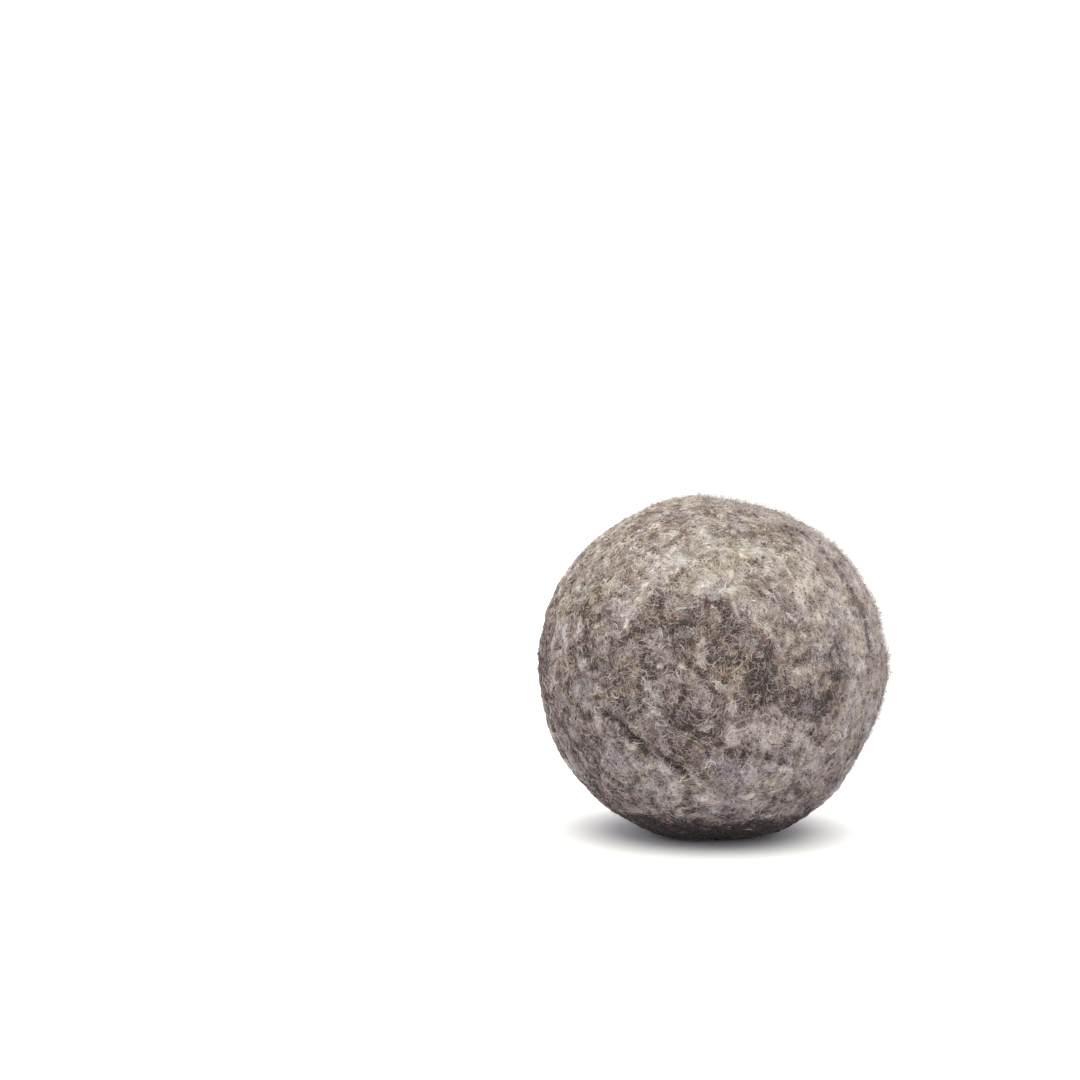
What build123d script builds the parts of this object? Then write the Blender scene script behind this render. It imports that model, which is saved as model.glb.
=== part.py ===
from build123d import *

import math
import os

# A felted wool dryer ball, in millimetres and degrees. +Z is up, and the origin is the centre of
# the flat that the ball rests on. The front of the ball faces -Y.

# Driving dimensions
ball_diameter = 75.0  # across the felted ball
rest_flat_diameter = 24.0  # the flat that the ball has settled on, before its edge is eased
rest_flat_easing = 6.0  # radius between the flat and the round
skin_thickness = 4.5  # the firm, fully felted shell
core_diameter = 24.0  # the pre-felted pellet in the middle
strips_per_layer = 6  # strips of carded wool roving that close one layer

# The layers of roving from the inside out, each with the axis that its strips run along.
# Every layer is laid at right angles to the one under it, so that the fibres cross.
strip_layers = (("inner", Axis.X), ("middle", Axis.Y), ("outer", Axis.Z))

# Plant flecks caught in the skin: longitude from +X, latitude, turn in the surface, length, width
flecks = {
    "straw_fleck": (-129.8, -2.6, 60.0, 1.5, 0.6),
    "hay_fleck_low": (-125.2, 8.6, -35.0, 1.7, 0.7),
    "hay_fleck_high": (-98.8, 31.9, 20.0, 1.6, 0.6),
}
fleck_thickness = 0.5
fleck_proud = 0.12  # how far a fleck stands out of the skin

# Worked out from the dimensions above
ball_radius = ball_diameter / 2
core_radius = core_diameter / 2
wound_radius = ball_radius - skin_thickness
layer_thickness = (wound_radius - core_radius) / len(strip_layers)
strip_angle = 360 / strips_per_layer
centre_height = math.sqrt(ball_radius**2 - (rest_flat_diameter / 2) ** 2)
ball_centre = Pos(0, 0, centre_height)


def roving_strip(inner_radius, outer_radius, number, poles):
    """One strip of a layer: as wide as its share of the equator and tapered to both poles."""
    ring = Circle(outer_radius) - Circle(inner_radius)
    half = Rectangle(outer_radius, 2 * outer_radius, align=(Align.MIN, Align.CENTER))
    strip = revolve(Plane.XZ * (ring & half), axis=Axis.Z, revolution_arc=strip_angle)
    strip = Rot(0, 0, number * strip_angle) * strip
    return ball_centre * Plane(origin=(0, 0, 0), z_dir=poles.direction).location * strip


def fleck(longitude, latitude, turn, length, width):
    """A flattened bit of stalk that lies along the surface of the ball."""
    surface = ball_centre * Rot(0, 0, longitude) * Rot(0, 90 - latitude, 0)
    foot = surface * Pos(0, 0, ball_radius + fleck_proud - fleck_thickness) * Rot(0, 0, turn)
    return foot * extrude(SlotOverall(length, width), amount=fleck_thickness)


def felt_skin(embedded):
    """The closed shell of felt, flat underneath, with a pocket for each embedded fleck."""
    standing = (Align.CENTER, Align.CENTER, Align.MIN)
    above_ground = Box(ball_diameter, ball_diameter, ball_diameter, align=standing)
    outside = (ball_centre * Sphere(ball_radius)) & above_ground
    flat_edge = outside.edges().group_by(Axis.Z)[0]
    outside = fillet(flat_edge, rest_flat_easing)
    skin = outside - ball_centre * Sphere(wound_radius)
    for piece in embedded:
        skin -= piece
    return skin


def build_pieces():
    """Every piece of the ball by name, from the outside in."""
    pieces = {name: fleck(*place) for name, place in flecks.items()}
    pieces["felt_skin"] = felt_skin(list(pieces.values()))
    for layer, (name, poles) in enumerate(strip_layers):
        inner_radius = core_radius + layer * layer_thickness
        outer_radius = inner_radius + layer_thickness
        for number in range(strips_per_layer):
            strip = roving_strip(inner_radius, outer_radius, number, poles)
            pieces[f"{name}_strip_{number + 1}"] = strip
    pieces["core_pellet"] = ball_centre * Sphere(core_radius)
    return pieces


os.makedirs("parts", exist_ok=True)
for piece_name, piece in build_pieces().items():
    export_step(piece, f"parts/{piece_name}.step")
    print(f"{piece_name}: {piece.volume:.1f} mm3")
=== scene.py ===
import math

import bpy
import numpy as np
from mathutils import Matrix, Vector


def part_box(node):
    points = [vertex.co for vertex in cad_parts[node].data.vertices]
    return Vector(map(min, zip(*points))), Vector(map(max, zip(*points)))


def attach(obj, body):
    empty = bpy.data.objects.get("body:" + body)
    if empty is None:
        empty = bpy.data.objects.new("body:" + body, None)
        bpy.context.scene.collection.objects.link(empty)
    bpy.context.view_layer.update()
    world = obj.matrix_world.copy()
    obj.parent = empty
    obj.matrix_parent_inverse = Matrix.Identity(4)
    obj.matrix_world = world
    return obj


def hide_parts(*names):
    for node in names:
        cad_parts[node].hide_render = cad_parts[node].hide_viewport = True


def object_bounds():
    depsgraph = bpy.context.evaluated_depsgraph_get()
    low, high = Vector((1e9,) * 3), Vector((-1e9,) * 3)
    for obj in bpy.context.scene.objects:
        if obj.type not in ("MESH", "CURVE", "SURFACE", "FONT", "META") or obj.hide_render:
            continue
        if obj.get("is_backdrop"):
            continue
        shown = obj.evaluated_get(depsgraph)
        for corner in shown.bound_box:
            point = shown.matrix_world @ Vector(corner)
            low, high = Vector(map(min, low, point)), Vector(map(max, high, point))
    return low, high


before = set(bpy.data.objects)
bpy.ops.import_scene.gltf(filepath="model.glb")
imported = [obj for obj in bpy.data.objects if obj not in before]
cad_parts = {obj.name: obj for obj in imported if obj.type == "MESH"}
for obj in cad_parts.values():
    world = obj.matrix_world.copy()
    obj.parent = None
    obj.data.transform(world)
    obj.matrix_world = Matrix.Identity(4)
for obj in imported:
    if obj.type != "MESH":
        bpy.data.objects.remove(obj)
cad_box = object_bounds()

MM = 0.001

# The ball, from the frame
skin_low, skin_high = (np.array(corner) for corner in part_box("felt_skin"))
BALL_RADIUS = (skin_high[0] - skin_low[0]) / 2
BALL_CENTRE = np.array([0.0, 0.0, skin_high[2] - BALL_RADIUS])
FRONT_RISE = math.radians(7.5)  # how far above level the front is looked at from

# The picture, in shares of its width: how wide the ball is, and how far right and down its centre is
BALL_SHARE = 0.3222
BALL_ACROSS = 0.659
BALL_DOWN = 0.6188
LENS = 85.0  # the lens and the sensor's width, in millimetres
SENSOR = 36.0
VIEW_DISTANCE = 2 * BALL_RADIUS / BALL_SHARE * LENS / SENSOR

FELT_INSET = 0.55 * MM  # the felt's own surface is a little inside, because the fibres stand on it
FELT_RADIUS = BALL_RADIUS - FELT_INSET
REST_SOFTNESS = 1.0 * MM  # how gently the round turns into the flat underneath

# Facing the front of the ball: to the right, up, and towards the viewer
RIGHT = np.array([1.0, 0.0, 0.0])
TOWARDS = np.array([0.0, -math.cos(FRONT_RISE), math.sin(FRONT_RISE)])
UP = np.cross(TOWARDS, RIGHT)


# ---------------------------------------------------------------- random fields


class WaveField:
    """A smooth random field of about one wavelength: a sum of plane waves, mostly from -1 to 1."""

    COUNT = 36
    SPREAD = (0.7, 1.4)  # the shortest and the longest wave, in wavelengths

    def __init__(self, seed, wavelength):
        rng = np.random.default_rng(seed)
        headings = unit(rng.normal(size=(self.COUNT, 3)))
        lengths = wavelength * rng.uniform(*self.SPREAD, size=(self.COUNT, 1))
        self.waves = 2 * math.pi * headings / lengths
        self.phases = rng.uniform(0, 2 * math.pi, size=self.COUNT)

    def __call__(self, points):
        total = np.zeros(len(points))
        for wave, phase in zip(self.waves, self.phases):
            total += np.cos(points @ wave + phase)
        return total / math.sqrt(self.COUNT)

    def slope(self, points):
        """Which way the field rises fastest at each point, not scaled."""
        total = np.zeros((len(points), 3))
        for wave, phase in zip(self.waves, self.phases):
            total -= np.sin(points @ wave + phase)[:, None] * wave
        return total


def wave_fields(wavelengths):
    """A field for each seed, from its wavelength in millimetres."""
    return [WaveField(seed, length * MM) for seed, length in wavelengths.items()]


def unit(vectors):
    return vectors / np.linalg.norm(vectors, axis=-1, keepdims=True)


def front_direction(across, up):
    """The direction from the ball's centre to a place seen so many ball radii right and up."""
    depth = math.sqrt(max(0.0, 1 - across**2 - up**2))
    # What is nearer looks further from the middle than it is
    nearness = 1 - depth * BALL_RADIUS / VIEW_DISTANCE
    across, up = across * nearness, up * nearness
    depth = math.sqrt(max(0.0, 1 - across**2 - up**2))
    return across * RIGHT + up * UP + depth * TOWARDS


def smooth_step(low, high, values):
    share = np.clip((values - low) / (high - low), 0, 1)
    return share * share * (3 - 2 * share)


# ---------------------------------------------------------------- the felt's shape and tone

# Lumps of the felt, by seed and wavelength, and their heights
LUMPS = wave_fields({11: 34, 12: 15, 13: 7.5, 14: 3.6, 15: 1.9})
LUMP_HEIGHTS = np.array([0.16, 0.13, 0.12, 0.09, 0.07]) * MM

# Mottling from wool of different sheep, and how much each size of it changes the tone
BROAD_MOTTLES = wave_fields({21: 26, 22: 13})
BROAD_SHARES = (0.07, 0.11)
MOTTLES = wave_fields({23: 6.5, 24: 3.2, 25: 1.6})
MOTTLE_SHARES = (0.11, 0.15, 0.14)
FRONT_EDGE = (0.1, 0.5)  # where the front starts, as the cosine of the angle from the line of sight
MEAN_TONE = 0.49

# How brown the wool is: on average, how much that varies, and how much more the top is than the middle,
# which is a painted tint of the light: warm from above and lilac underneath
WARMTHS = wave_fields({31: 9, 36: 3})
MEAN_WARMTH = -0.3
WARMTH_VARIES = 0.5
PAINTED_LIGHT_WARMTH_RISE = 0.9

# How the carding has stirred the shades into one another, and which way the wool runs
STIRS = wave_fields({32: 8, 33: 8, 34: 8})
STIR_DISTANCE = 1.1 * MM
RUN = WaveField(35, 15 * MM)
RIM_EDGE = (0.55, 0.95)  # where the front's rim starts, as the sine of the angle from the line of sight

# Painted shade at the foot, where the ball meets the floor: how much darker the wool is painted, and
# the heights between which it fades
FOOT_PAINTED_SHADE = 1.2
FOOT_SHADE_HEIGHTS = (3.6 * MM, 7.6 * MM)

# Strokes of darker and paler wool on the front, the last five of them painted light and shade along the
# rim: both ends and half width, in ball radii, and the change of tone
STROKES = (
    (-0.35, 0.25, -0.25, 0.27, 0.07, -0.20),
    (-0.22, 0.33, -0.05, 0.34, 0.09, -0.26),
    (0.02, 0.33, 0.10, 0.26, 0.07, -0.26),
    (0.12, 0.18, 0.20, 0.10, 0.08, -0.27),
    (0.28, 0.05, 0.30, -0.08, 0.07, -0.15),
    (0.10, -0.05, 0.14, -0.10, 0.06, -0.13),
    (0.36, -0.14, 0.52, -0.20, 0.08, -0.16),
    (0.72, -0.02, 0.64, -0.20, 0.08, -0.44),
    (0.56, -0.08, 0.60, -0.12, 0.06, -0.15),
    (0.60, -0.30, 0.57, -0.36, 0.05, -0.24),
    (-0.24, -0.26, -0.16, -0.31, 0.06, -0.22),
    (-0.12, -0.37, -0.02, -0.41, 0.08, -0.40),
    (-0.03, -0.62, -0.01, -0.68, 0.05, -0.17),
    (-0.72, 0.10, -0.66, 0.05, 0.07, -0.28),
    (-0.50, -0.02, -0.42, -0.07, 0.10, -0.22),
    (-0.49, 0.15, -0.44, 0.09, 0.06, -0.15),
    (-0.59, -0.25, -0.50, -0.30, 0.06, -0.20),
    (-0.48, -0.46, -0.42, -0.52, 0.05, -0.18),
    (-0.86, -0.08, -0.84, -0.14, 0.06, -0.14),
    (-0.86, -0.30, -0.76, -0.38, 0.08, -0.20),
    (0.12, -0.47, 0.40, -0.53, 0.05, -0.19),
    (0.20, 0.48, 0.34, 0.40, 0.07, -0.14),
    (0.24, 0.82, 0.34, 0.80, 0.08, -0.14),
    (-0.31, 0.73, -0.23, 0.76, 0.08, -0.12),
    (-0.68, 0.32, -0.60, 0.28, 0.07, -0.10),
    (0.38, -0.74, 0.46, -0.79, 0.08, -0.16),
    (0.46, 0.82, 0.65, 0.66, 0.03, -0.28),
    (0.65, 0.66, 0.83, 0.42, 0.03, -0.30),
    (0.83, 0.42, 0.92, 0.06, 0.03, -0.20),
    (0.14, -0.36, 0.32, -0.40, 0.10, 0.22),
    (0.28, -0.60, 0.34, -0.67, 0.10, 0.22),
    (0.56, 0.48, 0.65, 0.36, 0.10, 0.26),
    (0.58, 0.62, 0.63, 0.56, 0.08, 0.20),
    (-0.30, 0.66, 0.10, 0.62, 0.20, 0.10),
    (0.26, 0.70, 0.36, 0.66, 0.08, 0.14),
    (-0.88, 0.20, -0.86, 0.10, 0.05, 0.22),
    (0.76, 0.34, 0.82, 0.05, 0.05, 0.20),
    (0.52, 0.12, 0.66, 0.07, 0.06, 0.15),
    (0.16, 0.42, 0.24, 0.28, 0.07, 0.22),
    (0.04, 0.42, 0.08, 0.39, 0.06, 0.12),
    (-0.38, 0.16, -0.30, 0.10, 0.05, 0.09),
    (-0.10, -0.12, 0.06, -0.18, 0.10, 0.10),
    (0.80, -0.12, 0.76, -0.42, 0.08, 0.14),
    (-0.44, 0.30, -0.22, 0.50, 0.12, 0.11),
    (0.46, -0.46, 0.66, -0.42, 0.07, 0.16),
    (-0.20, -0.68, 0.12, -0.80, 0.08, 0.19),
    (0.04, -0.54, 0.08, -0.61, 0.07, 0.18),
    (-0.52, -0.42, -0.34, -0.60, 0.05, 0.09),
    (0.00, 0.66, 0.10, 0.66, 0.45, 0.16),
    (0.00, 0.02, 0.15, -0.05, 0.42, -0.15),
    # Painted light and shade along the rim: the right rim painted lighter, the left and lower rims
    # painted darker
    (0.85, 0.30, 0.88, 0.00, 0.34, 0.10),
    (-0.80, 0.05, -0.80, -0.05, 0.35, -0.06),
    (-0.96, 0.25, -0.96, -0.20, 0.16, -0.30),
    (-0.82, -0.52, -0.60, -0.76, 0.18, -0.14),
    (0.66, -0.70, 0.80, -0.54, 0.15, -0.10),
)

# Creases where one wrap of wool ends over another: both ends, and how deep from 0 to 1
CREASES = (
    (-0.60, -0.27, -0.52, -0.35, 1.0),
    (-0.47, -0.39, -0.33, -0.52, 1.0),
    (-0.29, -0.50, -0.15, -0.63, 0.9),
    (-0.78, -0.45, -0.52, -0.68, 0.5),
    (0.86, 0.36, 0.90, 0.02, 0.5),
    (0.72, -0.02, 0.63, -0.26, 0.6),
    (0.10, -0.48, 0.42, -0.53, 0.5),
)
CREASE_WIDTH = 0.85 * MM
CREASE_BENDS = wave_fields({38: 3.5, 39: 3.5, 40: 3.5})
CREASE_WANDER = 0.45 * MM
CREASE_GAPS = WaveField(37, 3 * MM)
CREASE_OPENNESS = 0.9  # on average, and how much it varies along a crease
CREASE_VARIES = 0.35
CREASE_DEPTH = 1.0 * MM
# How much darker the creases are painted: painted shade in their hollows
CREASE_PAINTED_SHADE = 0.60

# Where the ball is pressed out of round: place (ball radii right, up), size in ball radii, and height
DENTS = (
    (0.24, 0.96, 0.28, -1.5 * MM),
    (0.90, -0.42, 0.28, -1.2 * MM),
    (0.34, -0.93, 0.18, 0.4 * MM),
    (0.70, 0.70, 0.60, -0.2 * MM),
    (-0.92, 0.36, 0.40, 0.35 * MM),
)


def away_from_stroke(directions, start, end):
    """How far each direction is from a stroke between two places on the front, in ball radii."""
    start = front_direction(*start)
    along = front_direction(*end) - start
    share = np.clip((directions - start) @ along / (along @ along), 0, 1)
    nearest = unit(start + share[:, None] * along)
    return np.linalg.norm(directions - nearest, axis=1)


def stirred(directions, stirs, distance):
    """Directions moved about by smooth random fields, one for each axis."""
    points = directions * BALL_RADIUS
    return unit(points + distance * np.stack([field(points) for field in stirs], 1))


def crease_depth(directions):
    """How deep the creases are, from 0 to 1. They wander, and close up here and there."""
    openness = CREASE_OPENNESS + CREASE_VARIES * CREASE_GAPS(directions * BALL_RADIUS)
    directions = stirred(directions, CREASE_BENDS, CREASE_WANDER)
    deepest = np.zeros(len(directions))
    for *ends, depth in CREASES:
        away = away_from_stroke(directions, ends[:2], ends[2:]) * BALL_RADIUS
        deepest = np.maximum(deepest, depth * np.exp(-((away / CREASE_WIDTH) ** 2)))
    return deepest * np.clip(openness, 0, 1)


def lump_height(directions):
    """How far the felt stands above its mean radius at each direction, with its dents and creases."""
    points = directions * BALL_RADIUS
    height = sum(size * field(points) for field, size in zip(LUMPS, LUMP_HEIGHTS))
    for across, up, size, change in DENTS:
        away = np.linalg.norm(directions - front_direction(across, up), axis=1)
        height += change * np.exp(-((away / size) ** 2))
    return height - CREASE_DEPTH * crease_depth(directions)


def felt_tone(directions):
    """How light the wool is at each direction, from 0, charcoal, to 1, cream, with painted shade at the
    foot, in the creases and on the left and lower rim, and a painted highlight on the right rim.
    """
    mixed = stirred(directions, STIRS, STIR_DISTANCE)
    points = mixed * BALL_RADIUS
    broad = sum(share * field(points) for field, share in zip(BROAD_MOTTLES, BROAD_SHARES))
    fine = sum(share * field(points) for field, share in zip(MOTTLES, MOTTLE_SHARES))
    # On the front the strokes take the place of the broad mottles
    tone = MEAN_TONE + fine + broad * (1 - smooth_step(*FRONT_EDGE, directions @ TOWARDS))
    # Some strokes are painted shade on the left and lower rim and a painted highlight on the right rim
    for *ends, size, change in STROKES:
        away = away_from_stroke(mixed, ends[:2], ends[2:])
        tone += change * np.exp(-((away / size) ** 2))
    height = BALL_CENTRE[2] + directions[:, 2] * BALL_RADIUS
    # Painted shade at the foot, in place of the shade where the ball meets the floor
    tone -= FOOT_PAINTED_SHADE * (1 - smooth_step(*FOOT_SHADE_HEIGHTS, height))
    # Painted shade in the creases
    return tone - CREASE_PAINTED_SHADE * crease_depth(directions)


def felt_warmth(directions):
    """How brown the wool is at each direction: mostly from -1, lilac grey, to 1, with a painted tint of
    the light, browner on top and lilac underneath.
    """
    points = directions * BALL_RADIUS
    varied = WARMTH_VARIES * sum(field(points) for field in WARMTHS)
    # Painted tint of the light: browner towards the top, lilac towards the underside
    return varied + PAINTED_LIGHT_WARMTH_RISE * directions[:, 2] + MEAN_WARMTH


def felt_points(directions, lift=0.0):
    """Points on the felt, or lift above it, with the flat that the ball rests on."""
    radius = FELT_RADIUS + lump_height(directions) + lift
    points = BALL_CENTRE + directions * radius[:, None]
    height = points[:, 2]
    points[:, 2] = (height + np.sqrt(height**2 + REST_SOFTNESS**2)) / 2
    return points


# ---------------------------------------------------------------- meshes


def mesh_object(name, points, faces, smooth=True, **attributes):
    """A mesh object from arrays of points and of faces that all have as many corners."""
    mesh = bpy.data.meshes.new(name)
    corners = faces.shape[1]
    mesh.vertices.add(len(points))
    mesh.vertices.foreach_set("co", points.astype(np.float32).ravel())
    mesh.loops.add(faces.size)
    mesh.loops.foreach_set("vertex_index", faces.astype(np.int32).ravel())
    mesh.polygons.add(len(faces))
    mesh.polygons.foreach_set("loop_start", np.arange(0, faces.size, corners, dtype=np.int32))
    mesh.polygons.foreach_set("use_smooth", np.full(len(faces), smooth))
    for attribute, values in attributes.items():
        layer = mesh.attributes.new(attribute, "FLOAT", "POINT")
        layer.data.foreach_set("value", values.astype(np.float32))
    mesh.update(calc_edges=True)
    mesh.validate()
    obj = bpy.data.objects.new(name, mesh)
    bpy.context.collection.objects.link(obj)
    return obj


def cube_sphere(divisions):
    """Directions and quads of an even sphere: a cube's faces, divided and blown up."""
    steps = np.tan(np.linspace(-math.pi / 4, math.pi / 4, divisions + 1))
    across, up = (grid.ravel() for grid in np.meshgrid(steps, steps, indexing="ij"))
    row = np.arange(divisions)[:, None] * (divisions + 1) + np.arange(divisions)
    quad = np.stack([row, row + divisions + 1, row + divisions + 2, row + 1], -1).reshape(-1, 4)
    directions, quads = [], []
    for axis in range(3):
        for side in (-1, 1):
            face = np.empty((len(across), 3))
            face[:, axis] = side
            face[:, (axis + 1) % 3] = across * side
            face[:, (axis + 2) % 3] = up
            quads.append(quad + len(directions) * len(across))
            directions.append(face)
    directions = unit(np.concatenate(directions))
    # The faces' shared edges are merged
    rounded = np.round(directions, 6)
    _, kept, merged = np.unique(rounded, axis=0, return_index=True, return_inverse=True)
    return directions[kept], merged.ravel()[np.concatenate(quads)]


FIBRE_FLATNESS = 0.7  # a matted fibre's thickness, as a share of its width
FIBRE_TAPER = 0.4  # how gradually a fibre swells from its two points: 0 is at once


def tubes(paths, outward, widths, flatness=FIBRE_FLATNESS):
    """Closed three-sided tubes along paths, pointed at both ends. paths is count x steps x 3."""
    count, steps, _ = paths.shape
    along = unit(np.gradient(paths, axis=1))
    side = unit(np.cross(along, outward))
    top = np.cross(side, along)
    share = np.linspace(0, 1, steps)[1:-1]
    swell = np.sin(math.pi * share) ** FIBRE_TAPER
    radius = (widths[:, None] / 2 * swell)[..., None]
    rings = []
    for corner in range(3):
        angle = math.pi / 2 + corner * 2 * math.pi / 3
        offset = math.cos(angle) * side[:, 1:-1] + flatness * math.sin(angle) * top[:, 1:-1]
        rings.append(paths[:, 1:-1] + radius * offset)
    ring_points = np.stack(rings, 2).reshape(count, -1, 3)
    points = np.concatenate([paths[:, :1], ring_points, paths[:, -1:]], 1)
    return points.reshape(-1, 3), tube_faces(count, steps)


def tube_faces(count, steps, corners=3):
    """The triangles of count closed tubes of steps points each: an end, rings of corners, an end."""
    ring_total = (steps - 2) * corners
    one = []
    for corner in range(corners):
        turned = (corner + 1) % corners
        one.append((0, 1 + turned, 1 + corner))
        for ring in range(steps - 3):
            low, high = 1 + ring * corners, 1 + (ring + 1) * corners
            one.append((low + corner, low + turned, high + turned))
            one.append((low + corner, high + turned, high + corner))
        last = 1 + ring_total - corners
        one.append((last + corner, last + turned, ring_total + 1))
    starts = np.arange(count) * (ring_total + 2)
    return (starts[:, None, None] + np.array(one)).reshape(-1, 3)


def joined(*parts):
    """One set of points, triangles and attributes from several."""
    starts = np.cumsum([0] + [len(points) for points, _, _ in parts])
    points = np.concatenate([points for points, _, _ in parts])
    faces = np.concatenate([faces + start for (_, faces, _), start in zip(parts, starts)])
    attributes = {}
    for name in parts[0][2]:
        attributes[name] = np.concatenate([values[name] for _, _, values in parts])
    return points, faces, attributes


# ---------------------------------------------------------------- fibres

# How every fibre lies: its crimp's wavelength and size in millimetres, how much of its piece's flow it
# has, how much its bend changes at a step as a share of its wander, and how gradually it arches up
CRIMP_LENGTHS = (1.1, 2.4)
CRIMP_SIZES = (0.02, 0.09)
FLOW_SHARES = (0.3, 1.0)
BEND_CHANGE = 0.8
ARCH_TAPER = 0.6
FIBRE_SINK = 0.06 * MM  # how far a fibre's ends are below the felt

# The matted fibres, from dark to light, and how their tones are set
TONE_GROUPS = ("charcoal", "umber", "brown", "ash", "grey", "oatmeal", "cream")
MATTED_LIGHTENING = 0.02  # how much lighter they are than the felt under them
TONE_SPREAD = 0.12
DARK_SPREAD = 0.40  # pale fibres cross the dark places more than dark ones cross the pale
MATTED_WARMTH_SPREAD = 0.7

# Fibres of one tone that lie over the others: seed, count, tone, lengths and widths in millimetres,
# and wander
LONE_FIBRES = {
    "pale_wisps": (44, 1600, 0.57, (2.0, 5.0), (0.09, 0.16), 0.25),
    "pale_loops": (46, 4200, 0.60, (0.7, 1.9), (0.16, 0.26), 1.2),
    "dark_hairs": (45, 1600, 0.22, (1.5, 4.5), (0.09, 0.16), 0.25),
    # The dark specks are partly dark fibres and partly painted shade, standing in for pits in the felt
    "dark_specks_and_pit_shade": (47, 3600, 0.10, (0.4, 1.1), (0.22, 0.38), 0.6),
}
LONE_SHARE = 0.4  # how much of the wool's own change of tone a lone fibre follows
LONE_TONE_SPREAD = 0.06
LONE_WARMTH_SPREAD = 0.5
MIDDLE_GREY = 0.5

# Fuzz that stands off the felt: seed, tufts, hairs in a tuft, lengths and widths in millimetres,
# leans in degrees, and the names of the pieces from the lowest to the highest
FUZZ_BANDS = ("fuzz_low", "fuzz_middle", "fuzz_high", "fuzz_top")
DOWN_BANDS = ("down_low", "down_middle", "down_top")
FUZZ = (
    (42, 46000, 1, (0.8, 2.2), (0.022, 0.038), (0, 50), FUZZ_BANDS),
    (49, 32000, 1, (0.9, 1.9), (0.016, 0.026), (0, 60), DOWN_BANDS),
    (43, 600, 9, (0.9, 2.4), (0.025, 0.042), (0, 40), ("stray_tufts",)),
    (48, 700, 1, (2.0, 4.0), (0.03, 0.05), (20, 65), ("stray_hairs",)),
)
FUZZY_SIDE = unit(RIGHT + UP)  # where the fuzz is longest and thickest
THINNEST = 0.35  # the share of tufts that are kept on the bare side
SHORTEST = 0.5  # what the hairs' lengths are multiplied by there, and by 1 more on the fuzzy side
THICKENING = (-0.5, 0.8)  # where tufts get closer, as the cosine of the angle from the fuzzy side
LENGTHENING = (-0.2, 0.9)  # where hairs get longer, in the same way
TUFT_SPREAD = 0.35 * MM  # how far the hairs of a tuft are from its middle
TUFT_UNEVENNESS = 0.6  # how differently they lean
HAIR_STEPS = 6
HAIR_BEND = (0.25, 0.30)  # how much a hair bends over at each step: its mean and spread, in radians
HAIR_TWIST = 0.45  # the spread of how much it turns round at each step
LOWEST_ROOT = 3.6 * MM
LOWEST_HAIR = 0.1 * MM
FUZZ_TONE = 0.44
FUZZ_TIP = 0.18  # how much lighter a hair is at its tip than at its root
FUZZ_SHARE = 0.35  # how much of the wool's own change of tone the fuzz follows
FUZZ_TONE_SPREAD = 0.13
# Painted backlight on the fuzz: how much cooler, towards lilac, the hairs are than the felt
FUZZ_PAINTED_BACKLIGHT_COOLNESS = 1.7
FUZZ_WARMTH_SPREAD = 0.4


def wool_run(directions):
    """Which way the wool runs: round the hills of a smooth field, and round the rim of the front."""
    swirl = unit(np.cross(RUN.slope(directions * BALL_RADIUS), directions))
    rim = np.cross(TOWARDS, directions)
    share = smooth_step(*RIM_EDGE, np.linalg.norm(rim, axis=1))[:, None]
    rim *= np.sign((rim * swirl).sum(1, keepdims=True))
    return unit((1 - share) * swirl + share * unit(rim))


def fibre_walk(rng, radius, count, steps, length, wander, flow):
    """Directions of points along crimped fibres that creep over a ball, as count x steps x 3.

    wander is how much they bend, and flow is how much they follow the way the wool runs.
    """
    place = unit(rng.normal(size=(count, 3)))
    loose = unit(np.cross(place, rng.normal(size=(count, 3))))
    run = wool_run(place)
    run *= np.sign((loose * run).sum(1, keepdims=True))
    pull = flow * rng.uniform(*FLOW_SHARES, size=(count, 1))
    heading = unit((1 - pull) * loose + pull * run)
    bend = rng.normal(scale=wander, size=count)
    step = length / (steps - 1)
    crimp_turn = 2 * math.pi * step / (rng.uniform(*CRIMP_LENGTHS, size=count) * MM)
    crimp_size = rng.uniform(*CRIMP_SIZES, size=count) * MM / radius
    crimp_start = rng.uniform(0, 2 * math.pi, size=count)
    walk = []
    for number in range(steps):
        sideways = np.cross(place, heading)
        crimp = crimp_size * np.sin(crimp_start + crimp_turn * number)
        walk.append(unit(place + crimp[:, None] * sideways))
        bend = bend + rng.normal(scale=wander * BEND_CHANGE, size=count)
        heading = unit(heading + np.tan(np.clip(bend * step / MM, -1, 1))[:, None] * sideways)
        place = unit(place + heading * (step / radius)[:, None])
        heading = unit(heading - (heading * place).sum(1, keepdims=True) * place)
    return np.stack(walk, 1)


def arch(steps):
    """How high a fibre stands at each step, from 0 at its ends to 1 in the middle."""
    return np.sin(math.pi * np.linspace(0, 1, steps)) ** ARCH_TAPER


def surface_fibres(seed, count, steps, lengths, widths, lifts, wander, flow):
    """For fibres that lie on the felt: their random source, paths, directions and widths."""
    rng = np.random.default_rng(seed)
    length = rng.uniform(*lengths, size=count) * MM
    walk = fibre_walk(rng, BALL_RADIUS, count, steps, length, wander, flow)
    lift = rng.uniform(*lifts, size=count)[:, None] * MM * arch(steps) - FIBRE_SINK
    paths = felt_points(walk.reshape(-1, 3), lift.ravel()).reshape(count, steps, 3)
    width = rng.uniform(*widths, size=count) * MM
    return rng, paths, walk, width


def fibre_object(name, paths, outward, width, tone, warm, flatness=FIBRE_FLATNESS, tip=0.0):
    """Fibres as one mesh. tip is how much lighter they grow from their roots to their tips."""
    points, faces = tubes(paths, outward, width, flatness)
    corners = len(points) // len(paths)
    lighter = np.tile(tip * np.linspace(0, 1, corners), len(paths))
    return mesh_object(
        name,
        points,
        faces,
        tone=np.repeat(tone, corners) + lighter,
        warmth=np.repeat(warm, corners),
    )


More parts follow.
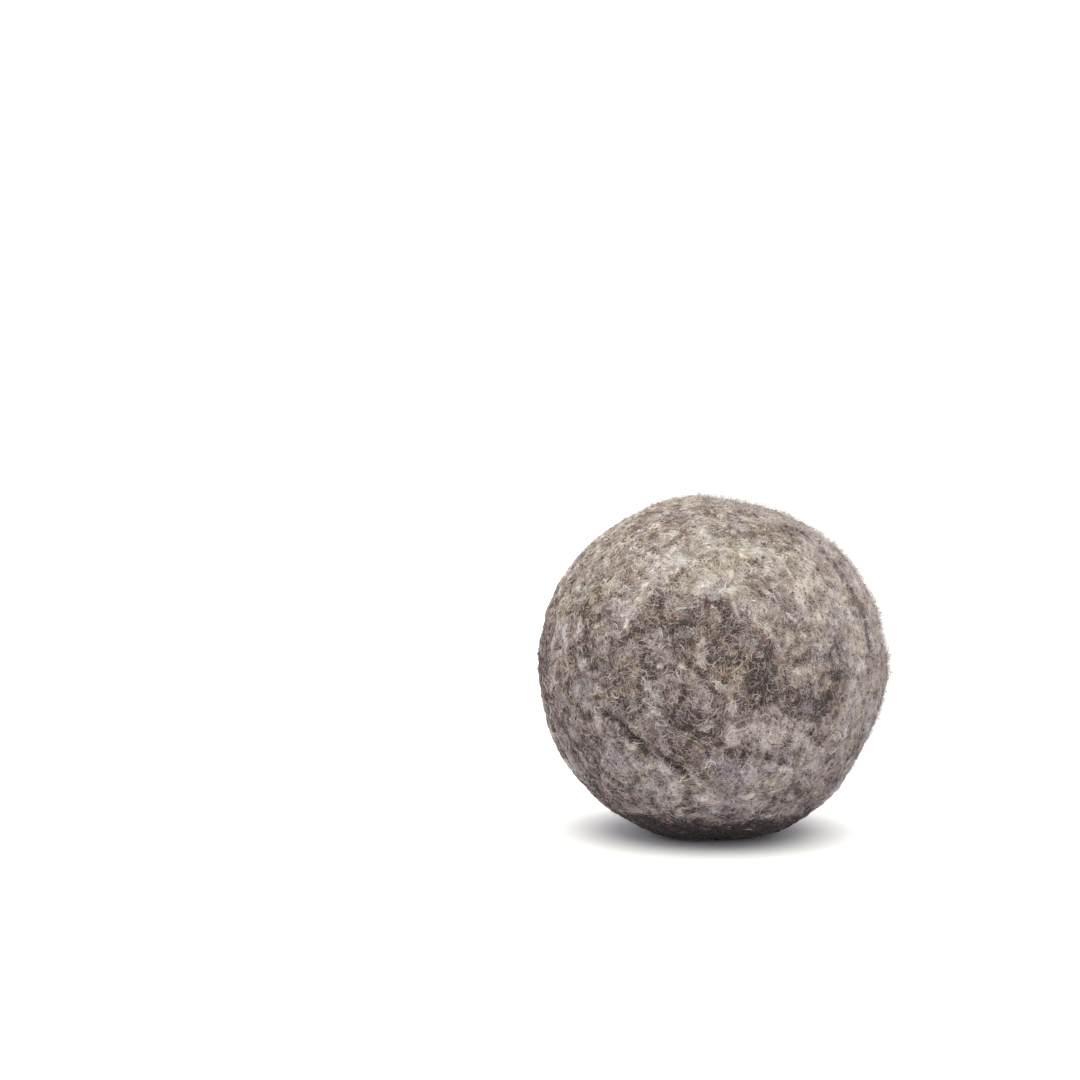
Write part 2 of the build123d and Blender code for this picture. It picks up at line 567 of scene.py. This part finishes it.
def felted_fibres(seed, count):
    """Short crimped fibres matted into the surface, split into pieces by tone."""
    rng, paths, walk, width = surface_fibres(
        seed,
        count,
        steps=7,
        lengths=(1.2, 3.4),
        widths=(0.12, 0.24),
        lifts=(0.0, 0.30),
        wander=0.35,
        flow=0.75,
    )
    middle = walk[:, walk.shape[1] // 2]
    tone = felt_tone(middle) + MATTED_LIGHTENING
    spread = TONE_SPREAD + DARK_SPREAD * np.clip(MEAN_TONE - tone, 0, MEAN_TONE)
    tone += spread * rng.normal(size=count)
    warm = felt_warmth(middle) + rng.normal(scale=MATTED_WARMTH_SPREAD, size=count)
    order = np.argsort(tone)
    for name, chosen in zip(TONE_GROUPS, np.array_split(order, len(TONE_GROUPS))):
        parts = (paths[chosen], walk[chosen], width[chosen], tone[chosen], warm[chosen])
        yield fibre_object(f"felt_fibres_{name}", *parts)


def lone_fibres(name, seed, count, tone_level, lengths, widths, wander):
    """Fibres of one tone that lie over the others."""
    rng, paths, walk, width = surface_fibres(
        seed,
        count,
        steps=9,
        lengths=lengths,
        widths=widths,
        lifts=(0.12, 0.40),
        wander=wander,
        flow=0.6,
    )
    middle = walk[:, walk.shape[1] // 2]
    tone = tone_level + LONE_SHARE * (felt_tone(middle) - MIDDLE_GREY)
    tone += rng.normal(scale=LONE_TONE_SPREAD, size=count)
    warm = felt_warmth(middle) + rng.normal(scale=LONE_WARMTH_SPREAD, size=count)
    return fibre_object(name, paths, walk, width, tone, warm)


def curled_paths(rng, root, length, lean, leaning):
    """Paths of hairs that rise from the felt and curl over, and the way across each."""
    count = len(root)
    sideways = unit(np.cross(root, leaning))
    across = np.cross(root, sideways)
    bend = rng.normal(*HAIR_BEND, size=count)[:, None]
    twist = rng.normal(scale=HAIR_TWIST, size=count)[:, None]
    paths = [felt_points(root)]
    for step in range(HAIR_STEPS - 1):
        bent = lean + bend * step
        turned = np.cos(twist * step) * sideways + np.sin(twist * step) * across
        heading = np.cos(bent) * root + np.sin(bent) * turned
        paths.append(paths[-1] + heading * length / (HAIR_STEPS - 1))
    paths = np.stack(paths, 1)
    paths[..., 2] = np.maximum(paths[..., 2], LOWEST_HAIR)
    return paths, across


def fuzz(seed, tufts, hairs, lengths, widths, leans, names):
    """Tufts of stray hairs that stand off the felt, split into pieces by height."""
    rng = np.random.default_rng(seed)
    tuft = unit(rng.normal(size=(tufts, 3)))
    thickness = THINNEST + (1 - THINNEST) * smooth_step(*THICKENING, tuft @ FUZZY_SIDE)
    tuft = tuft[(rng.uniform(size=tufts) < thickness) & (felt_points(tuft)[:, 2] > LOWEST_ROOT)]
    tuft = np.repeat(tuft[np.argsort(tuft[:, 2])], hairs, axis=0)
    count = len(tuft)
    root = unit(tuft + rng.normal(scale=TUFT_SPREAD / BALL_RADIUS, size=(count, 3)))
    leaning = np.repeat(rng.normal(size=(count // hairs, 3)), hairs, axis=0)
    leaning += rng.normal(scale=TUFT_UNEVENNESS, size=(count, 3))
    length = rng.uniform(*lengths, size=count)[:, None] * MM
    length *= SHORTEST + smooth_step(*LENGTHENING, root @ FUZZY_SIDE)[:, None]
    lean = np.radians(rng.uniform(*leans, size=count))[:, None]
    paths, across = curled_paths(rng, root, length, lean, leaning)
    tone = FUZZ_TONE + FUZZ_SHARE * (felt_tone(root) - MEAN_TONE)
    tone += rng.normal(scale=FUZZ_TONE_SPREAD, size=count)
    width = rng.uniform(*widths, size=count) * MM
    outward = np.repeat(across[:, None], HAIR_STEPS, 1)
    # Painted backlight: the fuzz turned lilac
    warm = felt_warmth(root) - FUZZ_PAINTED_BACKLIGHT_COOLNESS + rng.normal(scale=FUZZ_WARMTH_SPREAD, size=count)
    for name, chosen in zip(names, np.array_split(np.arange(count), len(names))):
        parts = (paths[chosen], outward[chosen], width[chosen], tone[chosen], warm[chosen])
        yield fibre_object(name, *parts, flatness=1.0, tip=FUZZ_TIP)


# ---------------------------------------------------------------- materials

SHEEN_ROUGHNESS = 0.5


def new_material(name, roughness, sheen=0.0, specular=0.2):
    """A material, its node tree and its shader."""
    material = bpy.data.materials.new(name)
    material.use_nodes = True
    shader = material.node_tree.nodes["Principled BSDF"]
    shader.inputs["Roughness"].default_value = roughness
    shader.inputs["Specular IOR Level"].default_value = specular
    shader.inputs["Sheen Weight"].default_value = sheen
    shader.inputs["Sheen Roughness"].default_value = SHEEN_ROUGHNESS
    return material, material.node_tree, shader


def add_node(tree, kind, **values):
    """A node with these properties and values of its sockets, whose spaces are written as _."""
    node = tree.nodes.new(kind)
    for name, value in values.items():
        if hasattr(node, name):
            setattr(node, name, value)
        else:
            node.inputs[name.replace("_", " ")].default_value = value
    return node


def attribute(tree, name):
    """The socket of a mesh attribute."""
    return add_node(tree, "ShaderNodeAttribute", attribute_name=name).outputs["Fac"]


def add_bump(tree, shader, height, strength, distance):
    bump = add_node(tree, "ShaderNodeBump", Strength=strength, Distance=distance)
    tree.links.new(height, bump.inputs["Height"])
    tree.links.new(bump.outputs[0], shader.inputs["Normal"])


def ramp(tree, stops):
    """A colour ramp through stops of position and colour."""
    node = tree.nodes.new("ShaderNodeValToRGB")
    elements = node.color_ramp.elements
    while len(elements) < len(stops):
        elements.new(0.5)
    for element, (position, colour) in zip(elements, stops):
        element.position = position
        element.color = (*colour, 1)
    return node


# Natural wool from dark to light, in linear colour
GREY_WOOL = (
    (0.0, (0.020, 0.013, 0.014)),
    (0.25, (0.112, 0.080, 0.084)),
    (0.5, (0.251, 0.205, 0.214)),
    (0.75, (0.402, 0.360, 0.369)),
    (1.0, (0.540, 0.505, 0.512)),
)
BROWN_WOOL = (
    (0.0, (0.032, 0.015, 0.010)),
    (0.25, (0.147, 0.085, 0.053)),
    (0.5, (0.287, 0.226, 0.159)),
    (0.75, (0.432, 0.382, 0.294)),
    (1.0, (0.570, 0.525, 0.435)),
)
# Lilac grey wool, used mostly for the painted lilac tint underneath and on the fuzz
LILAC_WOOL = (
    (0.0, (0.024, 0.015, 0.018)),
    (0.5, (0.250, 0.200, 0.226)),
    (1.0, (0.545, 0.502, 0.560)),
)
RUSTY_WOOL = (
    (0.0, (0.060, 0.018, 0.010)),
    (0.5, (0.300, 0.185, 0.140)),
    (1.0, (0.600, 0.470, 0.400)),
)
SAGE_WOOL = (
    (0.0, (0.026, 0.030, 0.024)),
    (0.5, (0.215, 0.225, 0.190)),
    (1.0, (0.500, 0.530, 0.480)),
)

# Where grey wool starts to turn to each of the others and where it has done so: in warmth for brown
# and lilac, and in the stain noise for rusty and sage spots, which never turn all the way
BROWN_SPAN = (-1.5, 2.0)
LILAC_SPAN = (-1.2, -2.8)
RUSTY_SPAN = (0.60, 0.78)
SAGE_SPAN = (0.40, 0.22)
RUSTY_STRENGTH = 0.7
SAGE_STRENGTH = 0.5
STAIN_SIZE = 2.4 * MM


def tinted(tree, colour, tone, stops, amount, span, strength=1.0):
    """The colour, turned towards another wool as the amount goes from one end of span to the other."""
    other = ramp(tree, stops)
    tree.links.new(tone, other.inputs[0])
    none_at, full_at = span
    share = add_node(tree, "ShaderNodeMapRange", From_Min=none_at, From_Max=full_at, To_Max=strength)
    tree.links.new(amount, share.inputs["Value"])
    mix = add_node(tree, "ShaderNodeMix", data_type="RGBA")
    tree.links.new(share.outputs[0], mix.inputs["Factor"])
    tree.links.new(colour, mix.inputs["A"])
    tree.links.new(other.outputs[0], mix.inputs["B"])
    return mix.outputs["Result"]


def wool_colour(tree, tone):
    """Wool of the tone in the socket: brown where warm, lilac where cool, with rusty and sage spots."""
    grey = ramp(tree, GREY_WOOL)
    tree.links.new(tone, grey.inputs[0])
    warmth = attribute(tree, "warmth")
    colour = tinted(tree, grey.outputs[0], tone, BROWN_WOOL, warmth, BROWN_SPAN)
    colour = tinted(tree, colour, tone, LILAC_WOOL, warmth, LILAC_SPAN)
    stain = scaled_noise(tree, STAIN_SIZE)
    colour = tinted(tree, colour, tone, RUSTY_WOOL, stain, RUSTY_SPAN, RUSTY_STRENGTH)
    return tinted(tree, colour, tone, SAGE_WOOL, stain, SAGE_SPAN, SAGE_STRENGTH)


def add(tree, *sockets):
    """The sum of the sockets."""
    total = sockets[0]
    for socket in sockets[1:]:
        node = add_node(tree, "ShaderNodeMath", operation="ADD")
        tree.links.new(total, node.inputs[0])
        tree.links.new(socket, node.inputs[1])
        total = node.outputs[0]
    return total


def scaled(tree, socket, centre, scale):
    """(socket - centre) x scale."""
    node = add_node(tree, "ShaderNodeMath", operation="MULTIPLY_ADD")
    tree.links.new(socket, node.inputs[0])
    node.inputs[1].default_value = scale
    node.inputs[2].default_value = -centre * scale
    return node.outputs[0]


NOISE_MIDDLE = 0.5  # the value that a noise goes above as often as below


def scaled_noise(tree, size, detail=1.0, distortion=0.0, offset=0.0):
    """Noise fixed to the object, in blots of about this size."""
    place = tree.nodes.new("ShaderNodeTexCoord")
    mapping = add_node(tree, "ShaderNodeMapping")
    mapping.inputs["Location"].default_value = (offset, offset, offset)
    noise = add_node(tree, "ShaderNodeTexNoise", Scale=1 / size, Detail=detail, Distortion=distortion)
    tree.links.new(place.outputs["Object"], mapping.inputs["Vector"])
    tree.links.new(mapping.outputs[0], noise.inputs["Vector"])
    return noise.outputs["Fac"]


# The threads of the matted ground: their sizes, each with an offset that sets its noise apart, how wide
# they are in noise, how much they curl, and the sum of them that leaves the tone as it is. Where the
# sum is lower, between the threads, the ground is painted darker as shade in the pits
THREADS = ((1.3 * MM, 0.0), (0.9 * MM, 0.3), (1.9 * MM, 0.6))
THREAD_WIDTH = 0.06
THREAD_CURL = 0.8
THREADS_LEVEL = 1.05


def curly_threads(tree, size, offset):
    """Curling threads, 1 on a thread and 0 between: the places where a noise passes its middle."""
    noise = scaled_noise(tree, size, distortion=THREAD_CURL, offset=offset)
    off_middle = add_node(tree, "ShaderNodeMath", operation="ABSOLUTE")
    tree.links.new(scaled(tree, noise, NOISE_MIDDLE, 1.0), off_middle.inputs[0])
    line = add_node(tree, "ShaderNodeMapRange", From_Max=THREAD_WIDTH, To_Min=1.0, To_Max=0.0)
    tree.links.new(off_middle.outputs[0], line.inputs["Value"])
    return line.outputs[0]


def felt_material():
    """The matted ground between the fibres that lie on it: curling threads with pits between them
    painted darker, as shade under the fibres.
    """
    material, tree, shader = new_material("felted_wool_ground", roughness=0.95, sheen=0.15)
    threads = [curly_threads(tree, size, offset) for size, offset in THREADS]
    grain = scaled_noise(tree, 0.45 * MM, detail=2.0)
    woven = add(tree, *threads, scaled(tree, grain, NOISE_MIDDLE, scale=2.0))
    # Painted shade in the pits between the threads
    tone = add(tree, attribute(tree, "tone"), scaled(tree, woven, THREADS_LEVEL, scale=0.25))
    tree.links.new(wool_colour(tree, tone), shader.inputs["Base Color"])
    add_bump(tree, shader, woven, strength=0.8, distance=0.25 * MM)
    return material


def fibre_material(name):
    """Single fibres: each has its own tone, and is a little uneven along its length."""
    material, tree, shader = new_material(name, roughness=0.85, sheen=0.2)
    uneven = scaled_noise(tree, 0.8 * MM, detail=2.0)
    tone = add(tree, attribute(tree, "tone"), scaled(tree, uneven, NOISE_MIDDLE, scale=0.5))
    tree.links.new(wool_colour(tree, tone), shader.inputs["Base Color"])
    return material


def streaks(tree, length, width):
    """Noise drawn out along a piece, in streaks about this long and wide."""
    place = add_node(tree, "ShaderNodeCombineXYZ")
    for axis, (name, size) in enumerate((("along", length), ("across", width))):
        tree.links.new(scaled(tree, attribute(tree, name), 0.0, 1 / size), place.inputs[axis])
    noise = add_node(tree, "ShaderNodeTexNoise", Scale=1.0, Detail=2.0)
    tree.links.new(place.outputs[0], noise.inputs["Vector"])
    return noise.outputs["Fac"]


def roving_material():
    """Carded wool, combed one way: fine streaks along each strip."""
    material, tree, shader = new_material("roving_wool", roughness=0.9, sheen=0.25)
    combed = streaks(tree, length=6.0 * MM, width=0.25 * MM)
    tone = add(tree, attribute(tree, "tone"), scaled(tree, combed, NOISE_MIDDLE, scale=0.9))
    tree.links.new(wool_colour(tree, tone), shader.inputs["Base Color"])
    add_bump(tree, shader, combed, strength=0.6, distance=0.15 * MM)
    return material


# Dry stalk from dark to light, in linear colour
STRAW = ((0.25, (0.100, 0.070, 0.036)), (0.5, (0.240, 0.185, 0.095)), (0.75, (0.360, 0.290, 0.165)))
HAY = ((0.25, (0.038, 0.036, 0.027)), (0.5, (0.110, 0.108, 0.080)), (0.75, (0.200, 0.195, 0.150)))


def stalk_material(name, stops):
    """A split bit of dry stalk, ribbed along its length."""
    material, tree, shader = new_material(name, roughness=0.6, specular=0.35)
    fibrous = streaks(tree, length=0.9 * MM, width=0.07 * MM)
    colour = ramp(tree, stops)
    tree.links.new(fibrous, colour.inputs[0])
    tree.links.new(colour.outputs[0], shader.inputs["Base Color"])
    add_bump(tree, shader, fibrous, strength=0.5, distance=0.04 * MM)
    return material


# ---------------------------------------------------------------- the pieces


def wear(obj, material, slot):
    """Gives obj its material, and lets it ride with the ball. slot is not used."""
    obj.data.materials.clear()
    obj.data.materials.append(material)
    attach(obj, "root")
    return obj


SKIN_DIVISIONS = 126


def make_skin():
    directions, quads = cube_sphere(SKIN_DIVISIONS)
    surface = mesh_object(
        "felt_surface",
        felt_points(directions),
        quads,
        tone=felt_tone(directions),
        warmth=felt_warmth(directions),
    )
    wear(surface, felt_material(), "felted_wool")
    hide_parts("felt_skin")


def make_fibres():
    material = fibre_material("wool_fibre")
    pieces = list(felted_fibres(seed=41, count=44000))
    for name, kind in LONE_FIBRES.items():
        pieces.append(lone_fibres(name, *kind))
    for kind in FUZZ:
        pieces.extend(fuzz(*kind))
    for piece in pieces:
        wear(piece, material, "felted_wool")


# How each fleck lies: its turn in the surface from straight down, in degrees, its length and width
FLECKS = {
    "straw_fleck": (60.0, 1.5 * MM, 0.6 * MM),
    "hay_fleck_low": (-35.0, 1.7 * MM, 0.7 * MM),
    "hay_fleck_high": (20.0, 1.6 * MM, 0.6 * MM),
}
FLECK_THICKNESS = 0.3 * MM
FLECK_DEPTH = 0.34 * MM  # from the round of the ball down to the middle of a fleck
FLECK_STEPS = 26
FLECK_CORNERS = 42
FLECK_RIBS = 7
FLECK_RIB_SHARE = 0.10  # how high its ribs are, and how rough it is, as shares of its own section
FLECK_ROUGHNESS = 0.02
FLECK_RAGGEDNESS = 0.12 * MM  # how unevenly its ends are broken
FLECK_BOW = 0.06 * MM  # how far its ends are bent to one side


def stalk_bit(name, seed):
    """A ribbed, ragged-ended bit of stalk that follows the round of the ball."""
    rng = np.random.default_rng(seed)
    turn, length, width = FLECKS[name]
    node_low, node_high = (np.array(corner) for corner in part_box(name))
    outward = unit((node_low + node_high) / 2 - BALL_CENTRE)
    east = unit(np.cross((0, 0, 1), outward))
    down = np.cross(outward, east)
    turn = math.radians(turn)
    lengthways = math.cos(turn) * down + math.sin(turn) * east
    sideways = np.cross(outward, lengthways)
    share = np.linspace(-1, 1, FLECK_STEPS)[1:-1, None]
    angle = np.linspace(0, 2 * math.pi, FLECK_CORNERS, endpoint=False)
    # The high powers keep it even along its middle and leave the change to its ends
    swell = np.sqrt(1 - share**6)
    rough = rng.normal(scale=FLECK_ROUGHNESS, size=(FLECK_STEPS - 2, FLECK_CORNERS))
    ribbed = 1 + FLECK_RIB_SHARE * np.cos(FLECK_RIBS * angle) + rough
    ragged = rng.normal(scale=FLECK_RAGGEDNESS, size=FLECK_CORNERS) * share**5
    along = share * length / 2 + ragged
    across = width / 2 * swell * np.cos(angle) * ribbed + FLECK_BOW * share**2
    height = FLECK_THICKNESS / 2 * swell * np.sin(angle) * ribbed
    ends = np.array([-length / 2, length / 2])
    along = np.concatenate([ends[:1], along.ravel(), ends[1:]])
    across = np.concatenate([[0], across.ravel(), [0]])
    height = np.concatenate([[0], height.ravel(), [0]]) - (along**2 + across**2) / (2 * BALL_RADIUS)
    points = BALL_CENTRE + (BALL_RADIUS - FLECK_DEPTH) * outward
    for distance, way in ((along, lengthways), (across, sideways), (height, outward)):
        points = points + distance[:, None] * way
    faces = tube_faces(1, FLECK_STEPS, FLECK_CORNERS)
    return mesh_object(name + "_stalk", points, faces, along=along, across=across)


def make_flecks():
    materials = {"straw": stalk_material("dry_straw", STRAW), "hay": stalk_material("dry_hay", HAY)}
    for seed, name in enumerate(FLECKS, start=51):
        slot = name.split("_")[0]
        piece = wear(stalk_bit(name, seed), materials[slot], slot)
        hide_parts(name)


# The layers of roving from the inside out, each with the direction of its poles
LAYERS = dict(zip(("inner", "middle", "outer"), np.eye(3)))
STRIPS = 6
STRIP_GAP = 0.14 * MM  # between a strip and the edge of its CAD solid
STRIP_END = math.radians(88.5)  # the latitude where a strip has tapered to nothing
ROVING_RIBS = 5  # slivers of wool side by side across a strip
RIB_DEPTH = 0.35 * MM
WRINKLES = WaveField(61, 5 * MM)
WRINKLE_SHARE = 0.25  # how far they push a rib sideways, in ribs
STRIP_RINGS = 90
STRIP_CORNERS = 48
STRIP_SQUARENESS = 0.4  # of its section: 0 is a rectangle and 1 an ellipse
STRIP_FULLNESS = 10  # the higher, the nearer its ends it starts to thin

# The loose fibres along a strip: how many, and their lengths and widths in millimetres
STRIP_FIBRES = 320
STRIP_FIBRE_STEPS = 8
STRIP_FIBRE_LENGTHS = (5, 16)
STRIP_FIBRE_WIDTHS = (0.10, 0.20)
STRIP_FIBRE_DEPTHS = (0, 0.15)  # how deep they are sunk in the strip, in millimetres
STRIP_FIBRE_END = 0.97 * STRIP_END  # the latitude that none of them passes
# In shares of the strip's half width: how far off its middle they lie, how far they drift sideways
# and where they are stopped
STRIP_FIBRE_OFFSET = 0.9
STRIP_FIBRE_DRIFT = 0.12
STRIP_FIBRE_EDGE = 0.95

# The random tone of a strip and its warmth, and how far the tones of single fibres are from it
ROVING_TONES = (0.50, 0.66)
ROVING_WARMTHS = (-0.6, 0.8)
INNER_TONE_SPREAD = 0.14


class Strip:
    """Where a strip of roving is, and the way from places on it to points."""

    def __init__(self, node, poles):
        corners = np.array([vertex.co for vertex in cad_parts[node].data.vertices]) - BALL_CENTRE
        distances = np.linalg.norm(corners, axis=1)
        average = corners.mean(0)
        self.poles = poles
        self.middle = unit(average - (average @ poles) * poles)
        self.side = np.cross(poles, self.middle)
        self.radius = (distances.max() + distances.min()) / 2
        self.half_thickness = (distances.max() - distances.min()) / 2 - STRIP_GAP

    def points(self, latitude, across, height):
        """Points from latitude, share of the half width, and height from the strip's mid radius."""
        room = STRIP_GAP / (self.radius * np.cos(latitude))
        angle = across * np.maximum(math.pi / STRIPS - room, 0)
        outward = np.cos(angle)[:, None] * self.middle + np.sin(angle)[:, None] * self.side
        direction = np.cos(latitude)[:, None] * outward + np.sin(latitude)[:, None] * self.poles
        return BALL_CENTRE + (self.radius + height)[:, None] * direction

    def places(self, latitude, across):
        """How far along and across the strip each point is, for streaks."""
        half_width = self.radius * np.cos(latitude) * math.pi / STRIPS
        return {"along": self.radius * latitude, "across": across * half_width}


def strip_body(strip, tone, warm):
    """The strip itself: soft-edged, ribbed along, tapered to both ends."""
    latitudes = np.linspace(-STRIP_END, STRIP_END, STRIP_RINGS + 2)
    angles = np.linspace(0, 2 * math.pi, STRIP_CORNERS, endpoint=False)
    rings = np.repeat(latitudes[1:-1], STRIP_CORNERS)
    latitude = np.concatenate([latitudes[:1], rings, latitudes[-1:]])
    angle = np.concatenate([[0], np.tile(angles, STRIP_RINGS), [0]])
    across = np.sign(np.cos(angle)) * np.abs(np.cos(angle)) ** STRIP_SQUARENESS
    height = np.sign(np.sin(angle)) * np.abs(np.sin(angle)) ** STRIP_SQUARENESS
    height[[0, -1]] = 0
    full = np.sqrt(1 - (latitude / STRIP_END) ** STRIP_FULLNESS)
    flat = strip.points(latitude, across, np.zeros(len(latitude)))
    ribs_in = ROVING_RIBS * across / 2 + WRINKLE_SHARE * WRINKLES(flat)
    groove = 0.5 - 0.5 * np.cos(2 * math.pi * ribs_in)
    reach = strip.half_thickness * full - RIB_DEPTH * groove * full
    points = strip.points(latitude, across, height * reach)
    values = {"tone": np.full(len(points), tone), "warmth": np.full(len(points), warm)}
    values.update(strip.places(latitude, across))
    return points, tube_faces(1, STRIP_RINGS + 2, STRIP_CORNERS), values


def strip_fibres(rng, strip, tone, warm):
    """Loose fibres that lie along the strip on both its faces."""
    count, steps = STRIP_FIBRES, STRIP_FIBRE_STEPS
    length = rng.uniform(*STRIP_FIBRE_LENGTHS, size=(count, 1)) * MM / strip.radius
    middle = rng.uniform(-1, 1, size=(count, 1)) * (STRIP_FIBRE_END - length / 2)
    latitude = middle + length * np.linspace(-0.5, 0.5, steps)
    drift = rng.normal(scale=STRIP_FIBRE_DRIFT, size=(count, 1)) * np.linspace(-1, 1, steps)
    offset = rng.uniform(-STRIP_FIBRE_OFFSET, STRIP_FIBRE_OFFSET, size=(count, 1))
    across = np.clip(offset + drift, -STRIP_FIBRE_EDGE, STRIP_FIBRE_EDGE)
    face = rng.choice((-1, 1), size=(count, 1))
    depth = rng.uniform(*STRIP_FIBRE_DEPTHS, size=(count, 1)) * MM
    height = face * (strip.half_thickness - depth)
    height = np.repeat(height, steps, 1).ravel()
    paths = strip.points(latitude.ravel(), across.ravel(), height).reshape(count, steps, 3)
    width = rng.uniform(*STRIP_FIBRE_WIDTHS, size=count) * MM
    points, faces = tubes(paths, unit(paths - BALL_CENTRE), width)
    corners = len(points) // count
    shade = np.repeat(tone + rng.normal(scale=INNER_TONE_SPREAD, size=count), corners)
    places = strip.places(np.repeat(latitude.mean(1), corners), np.repeat(across.mean(1), corners))
    return points, faces, {"tone": shade, "warmth": np.full(len(points), warm), **places}


def make_strips():
    material = roving_material()
    rng = np.random.default_rng(62)
    for layer, poles in LAYERS.items():
        for number in range(1, STRIPS + 1):
            node = f"{layer}_strip_{number}"
            strip = Strip(node, poles)
            tone = rng.uniform(*ROVING_TONES)
            warm = rng.uniform(*ROVING_WARMTHS)
            body = strip_body(strip, tone, warm)
            points, faces, values = joined(body, strip_fibres(rng, strip, tone, warm))
            piece = mesh_object(f"{layer}_roving_{number}", points, faces, **values)
            wear(piece, material, "roving_wool")
            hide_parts(node)


CORE_TONE = 0.34
CORE_ROOM = 0.45 * MM  # from the core's felt to the edge of its CAD solid
CORE_BUMP = 0.3 * MM  # the most that its felt is above or below its radius
CORE_DIVISIONS = 40

# The core's fibres: how many, and their lengths, widths and heights in millimetres
CORE_FIBRES = 2600
CORE_FIBRE_STEPS = 7
CORE_FIBRE_LENGTHS = (1.5, 4.5)
CORE_FIBRE_WIDTHS = (0.10, 0.20)
CORE_FIBRE_LIFTS = (0.15, 0.35)


def core_body(radius):
    """The core's lumpy round, with the wool's own finer mottling."""
    directions, quads = cube_sphere(CORE_DIVISIONS)
    places = directions * BALL_RADIUS
    bumps = sum(size * field(places) for field, size in zip(LUMPS[1:], LUMP_HEIGHTS[1:]))
    heights = radius + np.clip(bumps, -CORE_BUMP, CORE_BUMP)
    points = BALL_CENTRE + directions * heights[:, None]
    triangles = np.concatenate([quads[:, [0, 1, 2]], quads[:, [0, 2, 3]]])
    tone = CORE_TONE + sum(share * field(places) for field, share in zip(MOTTLES, MOTTLE_SHARES))
    return points, triangles, {"tone": tone, "warmth": felt_warmth(directions)}


def core_fibres(radius):
    """Crimped fibres matted over the core."""
    rng = np.random.default_rng(63)
    count, steps = CORE_FIBRES, CORE_FIBRE_STEPS
    length = rng.uniform(*CORE_FIBRE_LENGTHS, size=count) * MM
    walk = fibre_walk(rng, radius, count, steps, length, wander=0.3, flow=0.3)
    lift = rng.uniform(*CORE_FIBRE_LIFTS, size=(count, 1)) * MM * arch(steps)
    paths = BALL_CENTRE + walk * (radius + lift)[..., None]
    points, faces = tubes(paths, walk, rng.uniform(*CORE_FIBRE_WIDTHS, size=count) * MM)
    corners = len(points) // count
    tone = np.repeat(CORE_TONE + rng.normal(scale=INNER_TONE_SPREAD, size=count), corners)
    warm = np.repeat(rng.normal(scale=MATTED_WARMTH_SPREAD, size=count), corners)
    return points, faces, {"tone": tone, "warmth": warm}


def make_core():
    core_low, core_high = (np.array(corner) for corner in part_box("core_pellet"))
    radius = (core_high[2] - core_low[2]) / 2 - CORE_ROOM
    points, faces, values = joined(core_body(radius), core_fibres(radius))
    core = mesh_object("core_felt", points, faces, **values)
    wear(core, fibre_material("core_wool"), "core_wool")
    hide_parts("core_pellet")


make_skin()
make_fibres()
make_flecks()
make_strips()
make_core()


# ---------------------------------------------------------------- camera, light and floor

FLOOR_HALF = 6.0  # half the floor's width, in metres
PAPER = ((0.0, (0.70, 0.70, 0.70)), (1.0, (0.74, 0.74, 0.74)))  # its tones, in linear colour


def aim(obj, place, target):
    """Puts a light at place, shining at target."""
    heading = (Vector(target) - Vector(place)).to_track_quat("-Z", "Y")
    obj.matrix_world = Matrix.Translation(place) @ heading.to_matrix().to_4x4()


def make_camera():
    """A level camera on the front's own line of sight, panned so that the ball is off centre."""
    camera = bpy.data.objects.new("camera", bpy.data.cameras.new("camera"))
    bpy.context.collection.objects.link(camera)
    camera.data.lens = LENS
    camera.data.sensor_width = SENSOR
    camera.data.clip_start = 0.01
    camera.location = BALL_CENTRE + VIEW_DISTANCE * TOWARDS
    # The ray to the ball is this far right of and above the camera's axis, per unit of depth
    right = (BALL_ACROSS - 0.5) * SENSOR / LENS
    above = (0.5 - BALL_DOWN) * SENSOR / LENS
    reach = math.sqrt(1 + right**2 + above**2)
    pitch = -math.asin(reach * math.sin(FRONT_RISE) / math.hypot(1, above)) - math.atan(above)
    yaw = math.atan2(right, math.cos(pitch) - above * math.sin(pitch))
    camera.rotation_euler = (math.pi / 2 + pitch, 0, yaw)
    bpy.context.scene.camera = camera


def make_studio():
    """One broad overhead light, a nearly white sky all round, and the floor."""
    light = bpy.data.objects.new("key", bpy.data.lights.new("key", "SUN"))
    light.data.energy = 5.0
    light.data.angle = math.radians(80)
    light.data.color = (0.98, 1.0, 0.85)
    bpy.context.collection.objects.link(light)
    aim(light, (0.05, -0.15, 1.0), BALL_CENTRE)
    world = bpy.data.worlds.new("studio")
    world.use_nodes = True
    world.node_tree.nodes["Background"].inputs["Color"].default_value = (0.96, 0.94, 1.0, 1)
    world.node_tree.nodes["Background"].inputs["Strength"].default_value = 1.4
    bpy.context.scene.world = world
    make_floor()
    bpy.context.scene.view_settings.view_transform = "Standard"


def make_floor():
    """A pale sheet of studio paper."""
    corners = FLOOR_HALF * np.array([(-1, -1, 0), (1, -1, 0), (1, 1, 0), (-1, 1, 0)])
    floor = mesh_object("floor", corners, np.array([[0, 1, 2, 3]]), smooth=False)
    material, tree, shader = new_material("studio_paper", roughness=0.9)
    grain = add_node(tree, "ShaderNodeTexNoise", Scale=400.0)
    paper = ramp(tree, PAPER)
    tree.links.new(grain.outputs["Fac"], paper.inputs[0])
    tree.links.new(paper.outputs[0], shader.inputs["Base Color"])
    floor.data.materials.append(material)
    floor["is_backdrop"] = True


make_camera()
make_studio()

plain = [[[float(value) for value in corner] for corner in box] for box in (cad_box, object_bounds())]
